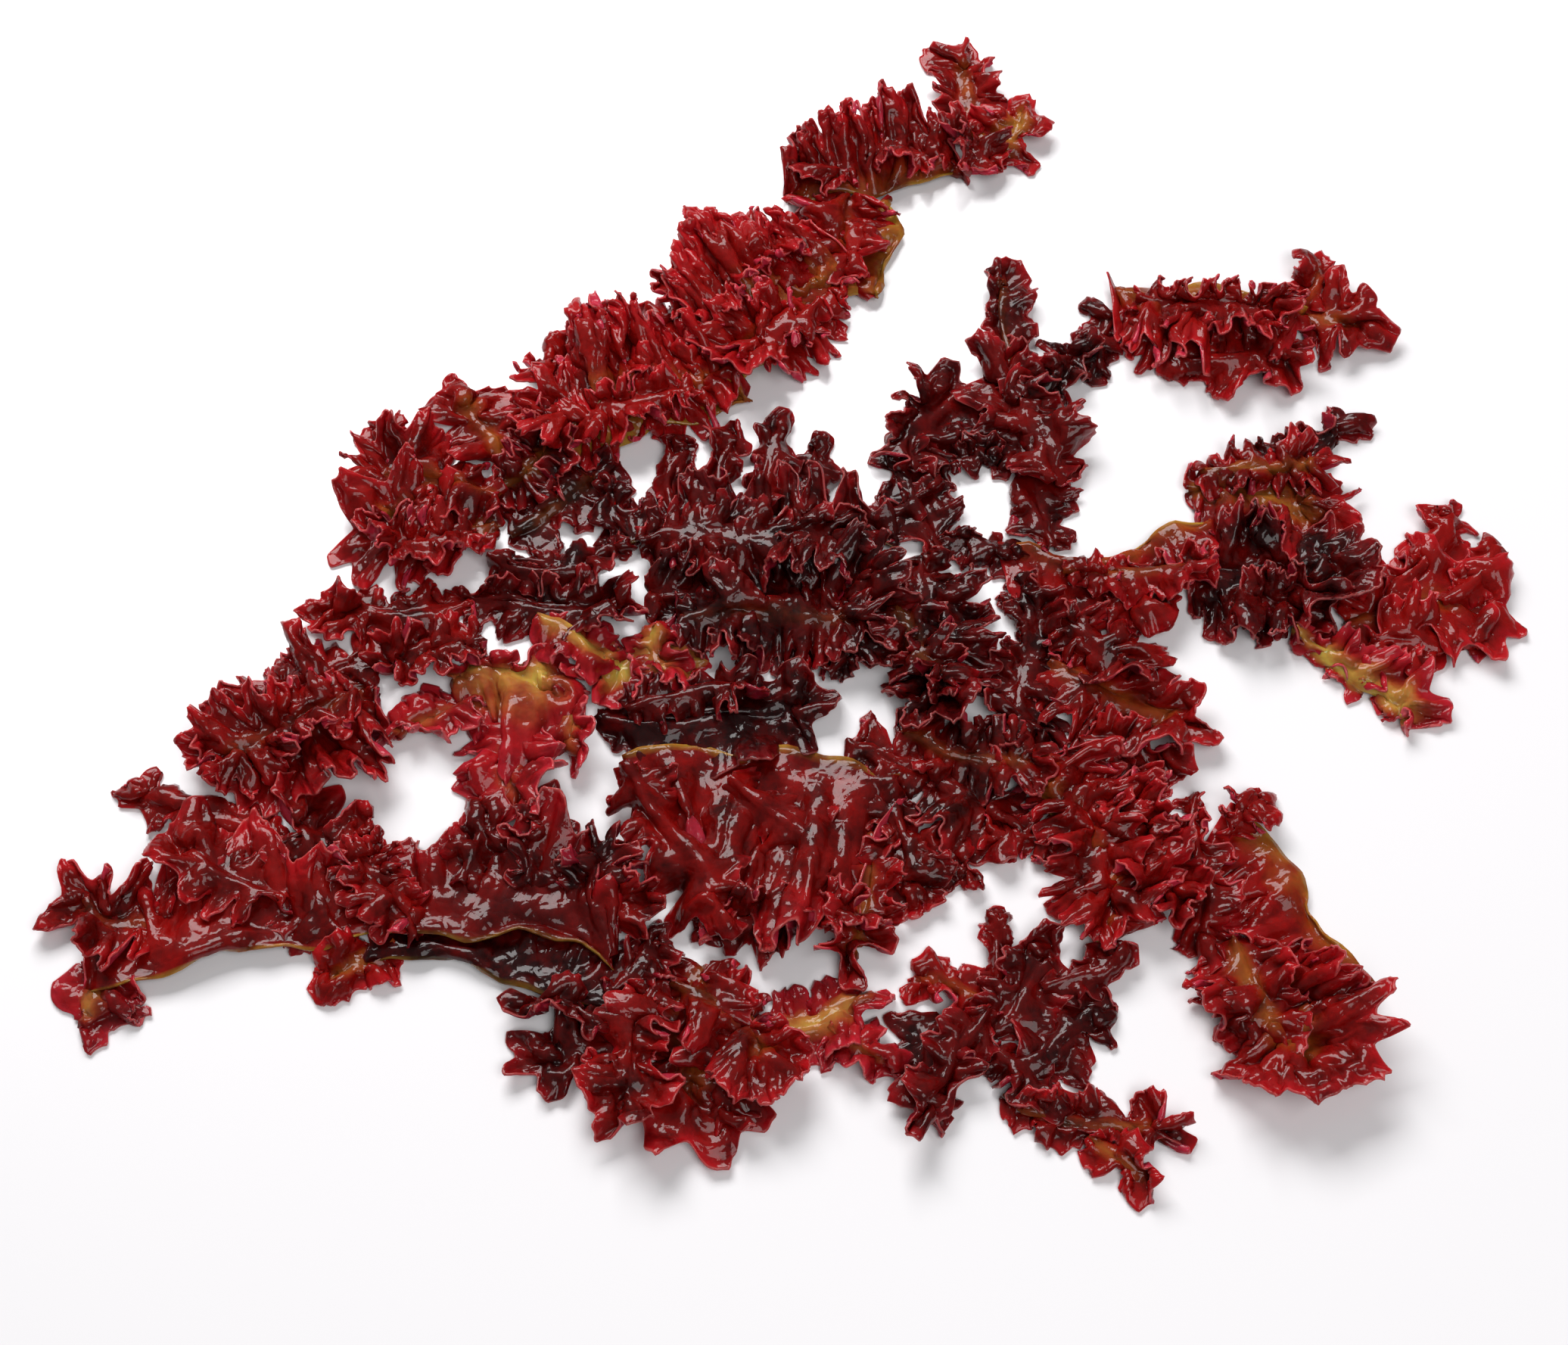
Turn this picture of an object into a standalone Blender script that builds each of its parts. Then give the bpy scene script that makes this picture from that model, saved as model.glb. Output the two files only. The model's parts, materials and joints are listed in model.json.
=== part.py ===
"""Red seaweed laid out on a table: flat ribbons and blades with frilled free edges, spread from a tangled heart.

Every frond is one thin solid. It follows a spine, its cut edge or midline lies low on the table, and its free
edges rise and fall in frills. Lengths in the tables are millimetres; the model itself is in metres, +Z up.
"""

import math

import bmesh
import bpy
from mathutils import Vector

MM = 0.001

# Where the middle of the whole spread lies in the layout below, so that the model's origin is there.
LAYOUT_CENTRE = (4.5, 17.4)

BLADE_THICKNESS = 1.0  # a real blade is about 0.4 thick; this is what still makes a sturdy solid
CUT_EDGE = 1.5  # how far a blade reaches past its spine on the side where it was cut
FLAT_SHARE = 0.26  # share of the width next to the spine that lies flat on the table
COLUMN_LENGTH = 3.7  # length of one step of the blade along its spine
LOBE_DEPTH = 0.14  # how much the free edge swings in and out, as a share of the width
FRILL_POWER = 1.25  # above 1, the frills rise mostly near the free edge
TIP_SHARE = 0.28  # share of a two-sided frond's length that rounds off at its tip
ROOT_WIDTH = 0.6  # width at the root, as a share of the full width
END_WIDTH = 0.62  # width at both ends of a one-sided blade, as a share of the full width
FLAT_PATCH = ("heart_blade", 0.62)  # the frond that the spread is steadied by, and its flat share

# Each finish: sRGB colour, roughness.
FINISHES = {
    "wine_frond": ((0.42, 0.04, 0.07), 0.30),
    "dark_frond": ((0.25, 0.02, 0.03), 0.28),
    "amber_frond": ((0.62, 0.36, 0.14), 0.34),
}

# Each frond: spine from its root, width left and right of the spine, height of its frills,
# length of one frill along the spine, finish.
FRONDS = {
    # The long northern arm, cut along its lower right edge.
    "summit_fan": (((48, 110), (46, 124), (41, 144)), 11, 12, 13, 12, "wine_frond"),
    "summit_ruffle": (((34, 112), (22, 110), (2, 109)), CUT_EDGE, 17, 12, 11, "wine_frond"),
    "summit_turn": (((21, 106), (22.5, 97), (21, 88)), CUT_EDGE, 20, 12, 11, "wine_frond"),
    "long_arm_upper": (((14, 77), (5, 67), (-7, 57)), CUT_EDGE, 30, 12, 10, "wine_frond"),
    "long_arm_lower": (((-11, 55), (-27, 46.5), (-44, 43)), CUT_EDGE, 30, 12, 10, "wine_frond"),
    # The north-western cluster.
    "west_fan": (((-57, 26), (-70, 27), (-91, 30)), 12.5, 13, 12, 12, "wine_frond"),
    "west_plume": (((-57, 43), (-61, 51), (-66, 61)), 8, 9, 12, 12, "wine_frond"),
    "west_horn": (((-75, 45.5), (-79, 50), (-84, 54)), 4, 4, 9, 12, "wine_frond"),
    "west_hook": (((-53, 26), (-44, 32), (-35, 40)), 7, 6, 10, 12, "dark_frond"),
    "crown": (((-30, 21), (-6, 21), (16.5, 21)), 26.5, CUT_EDGE, 14, 15, "dark_frond"),
    # The north-eastern arm.
    "north_east_lobe": (((27, 23), (25, 37), (30, 59)), 7.5, 7.5, 13, 14, "dark_frond"),
    "north_east_blade": (((52, 23), (47, 38), (46, 56), (46, 81)), 8, 13, 15, 15, "dark_frond"),
    "north_east_spur": (((62.5, 63), (65, 70), (67, 78)), 3.5, 3.5, 9, 12, "dark_frond"),
    "far_ribbon": (((72, 80), (86, 79), (105, 79)), CUT_EDGE, 21, 11, 14, "wine_frond"),
    "far_ribbon_end": (((108, 77), (116, 76), (126, 71)), 11, 10, 11, 13, "wine_frond"),
    # The eastern arm.
    "east_band": (((51, 18), (63, 17.5), (77, 23)), CUT_EDGE, 14, 8, 14, "wine_frond"),
    "east_sprig": (((96, 46.5), (105, 48), (114, 55)), 4, 4.5, 10, 12, "dark_frond"),
    "east_ruffle": (((82, 35), (95, 33), (112, 28)), 7, 8, 12, 12, "wine_frond"),
    "east_under_ruffle": (((84, 9), (94, 10), (107, 13)), 9, 10, 13, 11, "dark_frond"),
    "outer_fan": (((113, 3), (124, 9), (146, 12)), 15, 11, 13, 14, "wine_frond"),
    "outer_lobe": (((101, -4), (110, -13), (124, -21)), 6, 5, 10, 12, "amber_frond"),
    # Between the heart and the eastern side.
    "inner_ruffle": (((43, 13), (44, -3), (42.5, -21)), 5.5, 5.5, 12, 10, "dark_frond"),
    "middle_ruffle": (((28, 17), (30, 2), (27, -15)), 7, 7, 13, 10, "dark_frond"),
    "east_blade": (((53, -6), (64, -12), (81, -18)), 11, 11, 11, 13, "wine_frond"),
    # The south-eastern arm.
    "south_east_ruffle": (((47, -29), (52, -44), (57, -61)), 18.5, CUT_EDGE, 12, 11, "wine_frond"),
    "south_east_link": (((77, -34), (77, -46), (77.5, -62)), 2.5, 3, 9, 12, "wine_frond"),
    "south_east_blade": (((87.5, -42), (97, -54), (103, -70)), CUT_EDGE, 12.5, 9, 14, "wine_frond"),
    "south_east_end": (((87, -75), (89, -84), (92, -98)), 14, 14, 13, 12, "wine_frond"),
    # The separate-looking sprigs at the southern end.
    "low_sprig_left": (((28, -81), (25, -89), (26, -104)), 8, 8, 13, 14, "dark_frond"),
    "low_sprig_top": (((37, -78), (43, -70), (50, -59)), 5, 5, 13, 13, "dark_frond"),
    "low_sprig_blade": (((43, -89), (51, -81), (61, -75)), 6, 6, 13, 14, "dark_frond"),
    "low_sprig_end": (((41, -97), (52, -103), (69, -101)), 7, 6, 12, 13, "wine_frond"),
    "low_sprig_leaf": (((33, -73), (27, -71), (19, -73)), 3.5, 3.5, 11, 12, "wine_frond"),
    "low_band": (((0, -79), (8, -78), (18, -72)), 5, 7, 9, 13, "amber_frond"),
    "low_fan": (((-15, -71), (-17, -86), (-16, -107)), 13, 12, 13, 13, "wine_frond"),
    "low_ruffle": (((-32.5, -85), (-38, -88), (-49, -89)), 7, 7, 12, 12, "dark_frond"),
    # The south-western arm, a long blade with its cut edge towards the front.
    "dark_blade": (((-64, -69), (-50, -72), (-32, -79)), 7.5, CUT_EDGE, 8, 15, "dark_frond"),
    "glossy_blade": (((-65, -60), (-51, -59.5), (-37, -62)), 19.5, CUT_EDGE, 12, 14, "dark_frond"),
    "south_west_blade": (((-110, -66), (-95, -62), (-69, -59)), 23, CUT_EDGE, 13, 15, "wine_frond"),
    "south_west_tip": (((-118, -60), (-126, -58), (-137, -54)), 5.5, 6, 11, 13, "wine_frond"),
    "south_west_horn": (((-118, -46.5), (-120.5, -42), (-127, -37)), 3.5, 4, 11, 12, "wine_frond"),
    "south_west_tail": (((-123, -68), (-126, -74), (-123, -84)), 7, 6, 9, 12, "amber_frond"),
    "south_west_spur": (((-71, -65), (-77, -68), (-87, -74)), 4.5, 4.5, 9, 12, "wine_frond"),
    # The western arm.
    "west_arm_ruffle": (((-81, -10), (-94, -19), (-109, -28)), 12, 11.5, 12, 10, "wine_frond"),
    "west_arm_link": (((-64, 5.5), (-76, 4.5), (-94, 1)), 5.5, 5.5, 11, 11, "wine_frond"),
    # The amber blades west of the heart.
    "amber_blade": (((-54, -3), (-53, -15), (-52, -34)), 12, 13, 11, 14, "amber_frond"),
    "amber_strip": (((-17, -5), (-28, -5), (-38, -7)), 8, 7, 10, 12, "amber_frond"),
    "crown_link": (((-53, 19.5), (-43, 20), (-33, 21)), 3.5, 3, 8, 12, "dark_frond"),
    "folded_blade": (((-60, 11), (-47, 8.5), (-30, 9.5)), 5, 5, 11, 13, "dark_frond"),
    # The heart of the tangle.
    "heart_ruffle": (((-22, 9), (-6, 8.5), (19, 7)), 8.5, 9, 14, 10, "dark_frond"),
    "heart_dark_blade": (((-21.5, -19), (-7, -15), (16, -10)), 5, 7, 12, 12, "dark_frond"),
    "heart_blade": (((-31, -27), (-14, -29), (11, -38)), CUT_EDGE, 36, 13, 17, "wine_frond"),
    "heart_low_ruffle": (((17, -44), (18, -54), (14, -68)), 4.5, 5, 12, 12, "wine_frond"),
    "heart_east_ruffle": (((28, -46), (32, -52.5), (39, -58)), 4.5, 3.5, 12, 11, "wine_frond"),
    "heart_east_blade": (((13, -23), (28, -28), (43, -44)), 9, 8, 12, 13, "wine_frond"),
}


def spine_point(points, share):
    """The point at this share of a smooth curve through the points, and the curve's direction there."""
    known = [Vector(p) for p in points]
    known = [2 * known[0] - known[1]] + known + [2 * known[-1] - known[-2]]
    spans = len(points) - 1
    span = min(int(share * spans), spans - 1)
    t = share * spans - span
    a, b, c, d = known[span : span + 4]
    bend = 2 * a - 5 * b + 4 * c - d
    twist = 3 * b - a - 3 * c + d
    point = 0.5 * (2 * b + (c - a) * t + bend * t**2 + twist * t**3)
    along = 0.5 * ((c - a) + 2 * bend * t + 3 * twist * t**2)
    return point, along.normalized()


def width_share(share, two_sided):
    """How wide the blade is here: a frond has a narrower root and a round tip, a cut ribbon two narrower ends."""
    if not two_sided:
        return END_WIDTH + (1 - END_WIDTH) * math.sin(math.pi * share) ** 0.5
    root = ROOT_WIDTH + (1 - ROOT_WIDTH) * math.sin(min(share / 0.35, 1) * math.pi / 2)
    into_tip = max(0.0, (share - 1 + TIP_SHARE) / TIP_SHARE)
    return root * (0.2 + 0.8 * math.sqrt(max(0.0, 1 - into_tip**2)))


def rows_across(left, right):
    """Offsets of the blade's rows from its spine, from its right edge to its left edge."""
    if left > CUT_EDGE and right > CUT_EDGE:
        return [-right, -right / 2, 0.0, left / 2, left]
    free = max(left, right)
    rows = [-CUT_EDGE, 0.3 * free, 0.6 * free, 0.83 * free, free]
    return rows if left > right else [-row for row in reversed(rows)]


def frill_rise(offset, width, flat_share):
    """How much of the frills' height a row takes, from 0 on the flat part to 1 at the free edge."""
    if width <= CUT_EDGE:
        return 0.0
    return max(0.0, (abs(offset) / width - flat_share) / (1 - flat_share)) ** FRILL_POWER


def make_frond(name, spine, left, right, height, frill, finish, start):
    """One frond: a grid laid along its spine, frilled at its free edges, and given its thickness upwards."""
    length = sum((Vector(b) - Vector(a)).length for a, b in zip(spine, spine[1:]))
    columns = max(5, round(length / COLUMN_LENGTH))
    rows = rows_across(left, right)
    two_sided = left > CUT_EDGE and right > CUT_EDGE
    flat_share = FLAT_PATCH[1] if name == FLAT_PATCH[0] else FLAT_SHARE
    mesh = bpy.data.meshes.new(name)
    bm = bmesh.new()
    bmesh.ops.create_grid(bm, x_segments=columns, y_segments=len(rows) - 1, size=1.0)
    for vert in bm.verts:
        share = (vert.co.x + 1) / 2
        row = rows[round((vert.co.y + 1) / 2 * (len(rows) - 1))]
        width = left if row > 0 else right
        middle, along = spine_point(spine, share)
        across = Vector((-along.y, along.x))
        turn = 2 * math.pi * length * share / frill + start + (0.0 if row > 0 else 2.4)
        rise = frill_rise(row, width, flat_share)
        lobe = 1 + LOBE_DEPTH * rise * math.sin(turn + 1.9)
        place = middle + across * row * width_share(share, two_sided) * lobe
        lift = height * rise * (0.5 + 0.5 * math.sin(turn)) - 0.8 * rise
        vert.co = (
            (place.x - LAYOUT_CENTRE[0]) * MM,
            (place.y - LAYOUT_CENTRE[1]) * MM,
            max(0.0, lift) * MM,
        )
    bmesh.ops.triangulate(bm, faces=bm.faces, quad_method="SHORT_EDGE")
    underside = list(bm.faces)
    raised = bmesh.ops.extrude_face_region(bm, geom=underside, use_keep_orig=True)["geom"]
    top = [part for part in raised if isinstance(part, bmesh.types.BMVert)]
    bmesh.ops.translate(bm, verts=top, vec=(0, 0, BLADE_THICKNESS * MM))
    bmesh.ops.recalc_face_normals(bm, faces=bm.faces)
    bm.to_mesh(mesh)
    bm.free()
    mesh.materials.append(finish)
    return bpy.data.objects.new(name, mesh)


def make_finish(name, colour, roughness):
    """A plain Principled material in this sRGB colour."""
    material = bpy.data.materials.new(name)
    material.use_nodes = True
    shader = material.node_tree.nodes["Principled BSDF"]
    linear = [c / 12.92 if c <= 0.04045 else ((c + 0.055) / 1.055) ** 2.4 for c in colour]
    shader.inputs["Base Color"].default_value = (*linear, 1.0)
    shader.inputs["Roughness"].default_value = roughness
    shader.inputs["Metallic"].default_value = 0.0
    return material


def main():
    for old in list(bpy.data.objects):
        bpy.data.objects.remove(old)
    collection = bpy.data.collections.new("red_seaweed")
    bpy.context.scene.collection.children.link(collection)
    finishes = {name: make_finish(name, *values) for name, values in FINISHES.items()}
    for count, (name, values) in enumerate(FRONDS.items()):
        *shape, finish = values
        frond = make_frond(name, *shape, finishes[finish], start=2.1 * count)
        collection.objects.link(frond)


main()
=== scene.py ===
"""Looks of the red seaweed: every frond is grown here as a thin sheet whose margin gets longer than its base.

The surplus length buckles into frills, as it does in the living frond. The layout lists each frond's sheets
in millimetres, as the solid model lies. The grown sheets then get blisters, a thickness and a wet finish.
"""

import json
import math

import bmesh
import bpy
import numpy as np
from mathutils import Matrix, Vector


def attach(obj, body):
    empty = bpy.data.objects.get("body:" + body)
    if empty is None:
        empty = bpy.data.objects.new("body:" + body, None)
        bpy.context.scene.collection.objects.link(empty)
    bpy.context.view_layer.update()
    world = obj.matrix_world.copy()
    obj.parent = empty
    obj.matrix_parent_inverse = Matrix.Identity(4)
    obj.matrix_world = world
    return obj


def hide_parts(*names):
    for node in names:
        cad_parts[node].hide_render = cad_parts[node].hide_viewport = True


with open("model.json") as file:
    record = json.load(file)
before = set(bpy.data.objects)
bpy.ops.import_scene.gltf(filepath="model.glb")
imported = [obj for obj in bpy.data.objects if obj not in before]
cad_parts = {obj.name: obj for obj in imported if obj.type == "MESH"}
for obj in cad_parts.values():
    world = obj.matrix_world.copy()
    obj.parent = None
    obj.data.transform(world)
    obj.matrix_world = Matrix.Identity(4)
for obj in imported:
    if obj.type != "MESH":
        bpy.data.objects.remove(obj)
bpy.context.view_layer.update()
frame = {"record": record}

MM = 0.001
LAYOUT_CENTRE = (4.5, 17.4)  # the middle of the spread in the layout, where the model's origin is

# Lengths are in millimetres, except those of the table top and the lamps, which are in metres.
SHEET_THICKNESS = 0.42
LOWEST = 0.02  # height of the lowest tissue above the table
LOWEST_MIDDLE = 0.45  # height that the middle of a growing sheet keeps above the table
LOWEST_BASE = 0.4  # height that its base is held at, at least
ROOF = 14.0  # mean height at which the frills are pressed down again
ROOF_SWELL = 2.0  # how far that height goes up and down over the spread
CUT_EDGE = 0.04  # share of a ribbon's width that is amber, along its cut base
WELD = 0.02  # spots of a sheet that are closer than this are one spot
FIRST_SEED = 11

# How the growth is worked out. A thread is the line between two neighbouring spots of a sheet.
PULL = 0.8  # share of its error in length by which a thread pulls each of its spots, which move by the mean
MOMENTUM = 0.6  # share of its last move that a spot goes on with
LONGEST_DRIFT = 0.5  # the most that it goes on
SINKING = 0.004  # how far the margin sinks in one step
PRESSING = 0.12  # share of its height above the roof that a spot loses in one step
BASE_BAND = 0.06  # share of a sheet's width that is held in its place
BASE_HOLD = 0.9  # how firmly it is held
ARRIVAL = 0.6  # share of a stage's steps after which its lengths grow no more
RIPPLE = 0.12  # height of finer folds when they start, over their length

# The three stages of growth: the triangles' size, the folds that are added first, the share of the growth
# at the stage's start and end, its steps, how hard sheets resist bending, how far apart they are kept, and
# at every how many steps.
STAGES = (
    (2.4, None, dict(grown_from=0.4, grown_to=0.4, steps=150, bend=0.05, apart=1.6, apart_every=5)),
    (1.2, "ruffle", dict(grown_from=0.4, grown_to=0.75, steps=120, bend=0.04, apart=0.9, apart_every=10)),
    (0.78, "crinkle", dict(grown_from=0.75, grown_to=1.0, steps=50, bend=0.04)),
)

# The tissue's patterns: their sizes, and the pale line along each margin.
BLOTCH, FLECK, CRINKLE, VEIN_GAP = 7.0, 1.3, 1.6, 2.6
RIM_COLOUR = "BC6A66"
RANGE = ("Value", "From Min", "From Max", "To Min", "To Max")  # inputs of a node that moves a value's range

# The photograph's view.
VIEW_CENTRE = (0.0, -6.0)  # the place in the layout that is in the middle of the view
VIEW_ELEVATION = math.radians(62)
VIEW_DISTANCE = 500.0
LENS, SENSOR = 60.0, 36.0

# How a frond grows. growth: length of its margin over that of its base. onset: above 1, the growth stays near
# the margin. early: below 1, most of it goes into the wide first folds. fold: length of those folds. ruffle
# and crinkle: lengths of the finer folds on them. rise: how steeply the sheet leaves its base, in radians.
# unrolled: width of the sheet over the width that it covers once it's frilled. Then come the cuts between the
# margin's lobes, its teeth, how stiff it is, and its blisters' size and height. Lengths are in millimetres.
HABITS = {
    "curly": dict(growth=3.2, onset=1.0, early=0.6, fold=9.0, ruffle=5.0, crinkle=2.0, rise=0.6,
                  unrolled=1.5, lobe=4.5, lobe_step=10.0, tooth=1.7, tooth_step=3.0, stiff=1.2,
                  blister=(3.0, 0.3)),
    "lobed": dict(growth=2.3, onset=1.0, early=0.4, fold=13.0, ruffle=6.5, crinkle=3.0, rise=0.35,
                  unrolled=1.3, lobe=8.0, lobe_step=14.0, tooth=1.8, tooth_step=4.0, stiff=1.8,
                  blister=(3.8, 0.4)),
    "broad": dict(growth=1.8, onset=1.3, early=0.5, fold=20.0, ruffle=8.0, crinkle=3.0, rise=0.15,
                  unrolled=1.2, lobe=6.0, lobe_step=15.0, tooth=1.9, tooth_step=4.2, stiff=2.0,
                  blister=(5.0, 0.8)),
    "paddle": dict(growth=1.45, onset=1.2, early=0.5, fold=15.0, ruffle=8.0, crinkle=4.0, rise=0.4,
                   unrolled=1.2, lobe=4.0, lobe_step=12.0, tooth=1.2, tooth_step=4.0, stiff=2.2,
                   blister=(4.0, 0.4)),
}

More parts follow.
